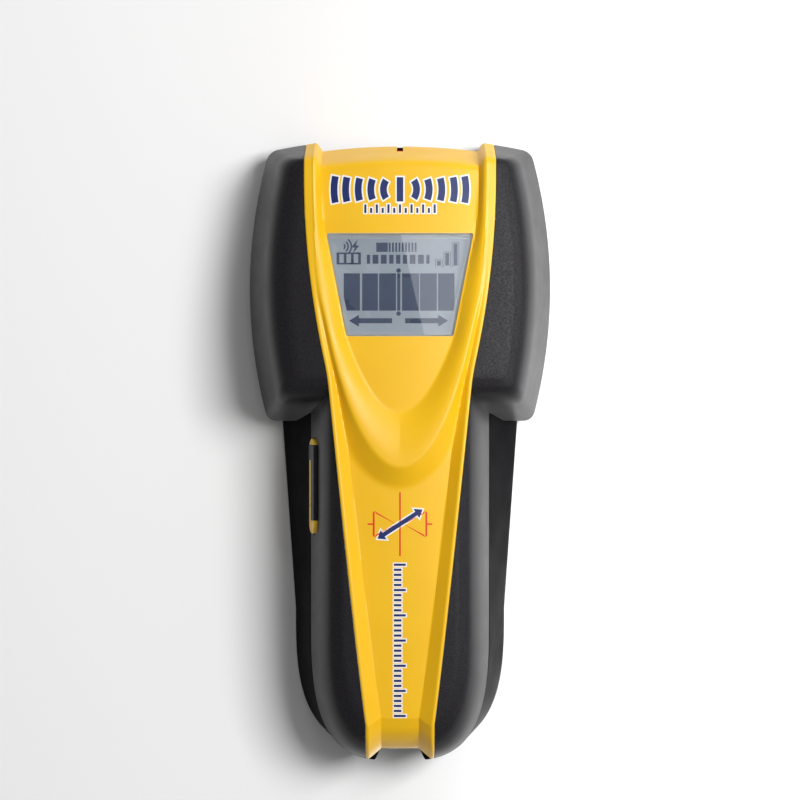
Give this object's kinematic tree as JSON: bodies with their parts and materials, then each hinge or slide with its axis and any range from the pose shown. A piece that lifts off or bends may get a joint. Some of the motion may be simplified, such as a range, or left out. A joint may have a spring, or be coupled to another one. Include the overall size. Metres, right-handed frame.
{
  "type": "stud finder",
  "caption": "Hand-held wall stud finder with a broad sensing head, tilted display, side power button, yellow front cover and a battery door in the underside.",
  "frame": {"origin": "centre of the bottom of the overall box, on the surface that the tool's back lies on", "axes": "+Y from the grip's tail to the sensing head, +Z from the back to the display, +X to the right of a person reading the display"},
  "size_m": [0.0852, 0.1739, 0.0369],
  "materials": {
    "black_plastic": "smooth moulded black",
    "charcoal_grip": "fine-grained charcoal overmould",
    "yellow_plastic": "satin moulded yellow",
    "clear_window": "clear polished window",
    "lcd_glass": "grey reflective display",
    "board_green": "solder mask",
    "component_black": "moulded electronic package",
    "grey_rubber": "soft moulded rubber",
    "foam": "open-cell foam",
    "red_lens": "clear red",
    "red_insulation": "insulated wire",
    "black_insulation": "insulated wire",
    "label_silver": "printed film",
    "battery_jacket": "printed metal jacket",
    "steel": "plated",
    "copper": "etched copper foil"
  },
  "bodies": {
    "casing": {"base_housing": "black_plastic", "upper_housing": "charcoal_grip", "front_cover": "yellow_plastic", "display_window": "clear_window", "display_gasket": "grey_rubber", "lcd_panel": "lcd_glass", "lcd_carrier": "black_plastic", "zebra_strip_head": "grey_rubber", "zebra_strip_low": "grey_rubber", "main_circuit_board": "board_green", "controller_chip": "component_black", "timing_crystal": "steel", "supply_capacitor": "component_black", "piezo_buzzer": "component_black", "board_header": "component_black", "sensor_board": "board_green", "sensor_plate_left": "copper", "sensor_plate_centre": "copper", "sensor_plate_right": "copper", "pointer_led": "red_lens", "pointer_lens": "red_lens", "switch_body": "component_black", "battery": "battery_jacket", "battery_terminal_positive": "steel", "battery_terminal_negative": "steel", "battery_snap_connector": "component_black", "battery_lead_red": "red_insulation", "battery_lead_black": "black_insulation", "battery_foam_pad": "foam", "rating_label": "label_silver", "case_screw_head_left": "steel", "case_screw_head_right": "steel", "case_screw_middle_left": "steel", "case_screw_middle_right": "steel", "case_screw_tail_left": "steel", "case_screw_tail_right": "steel", "board_screw_head_left": "steel", "board_screw_head_right": "steel", "board_screw_middle_left": "steel", "board_screw_middle_right": "steel"},
    "power_button": {"power_button": "yellow_plastic"},
    "switch_plunger": {"switch_plunger": "steel"},
    "battery_door": {"battery_door": "black_plastic"},
    "battery_door_latch": {"battery_door_latch": "black_plastic"}
  },
  "joints": [
    {"name": "power_button_press", "type": "slide", "parent": "casing", "child": "power_button", "axis": [1, 0, 0], "range_m": [0, 0.0012], "stiffness_N_per_m": 600, "springref_m": -0.0005},
    {"name": "switch_plunger_press", "type": "slide", "parent": "casing", "child": "switch_plunger", "axis": [1, 0, 0], "range_m": [0, 0.0012], "stiffness_N_per_m": 100, "springref_m": -0.0002},
    {"name": "battery_door_hinge", "type": "hinge", "parent": "casing", "child": "battery_door", "pos_m": [0, -0.0175, 0.002], "axis": [1, 0, 0], "range_deg": [0, 75]},
    {"name": "battery_door_latch_flex", "type": "hinge", "parent": "battery_door", "child": "battery_door_latch", "pos_m": [0, -0.0658, 0.001], "axis": [-1, 0, 0], "range_deg": [0, 10], "stiffness_Nm_per_rad": 0.4, "springref_deg": -1.15}
  ],
  "couplings": [
    {"joint": "switch_plunger_press", "follows": "power_button_press", "ratio": 1}
  ]
}
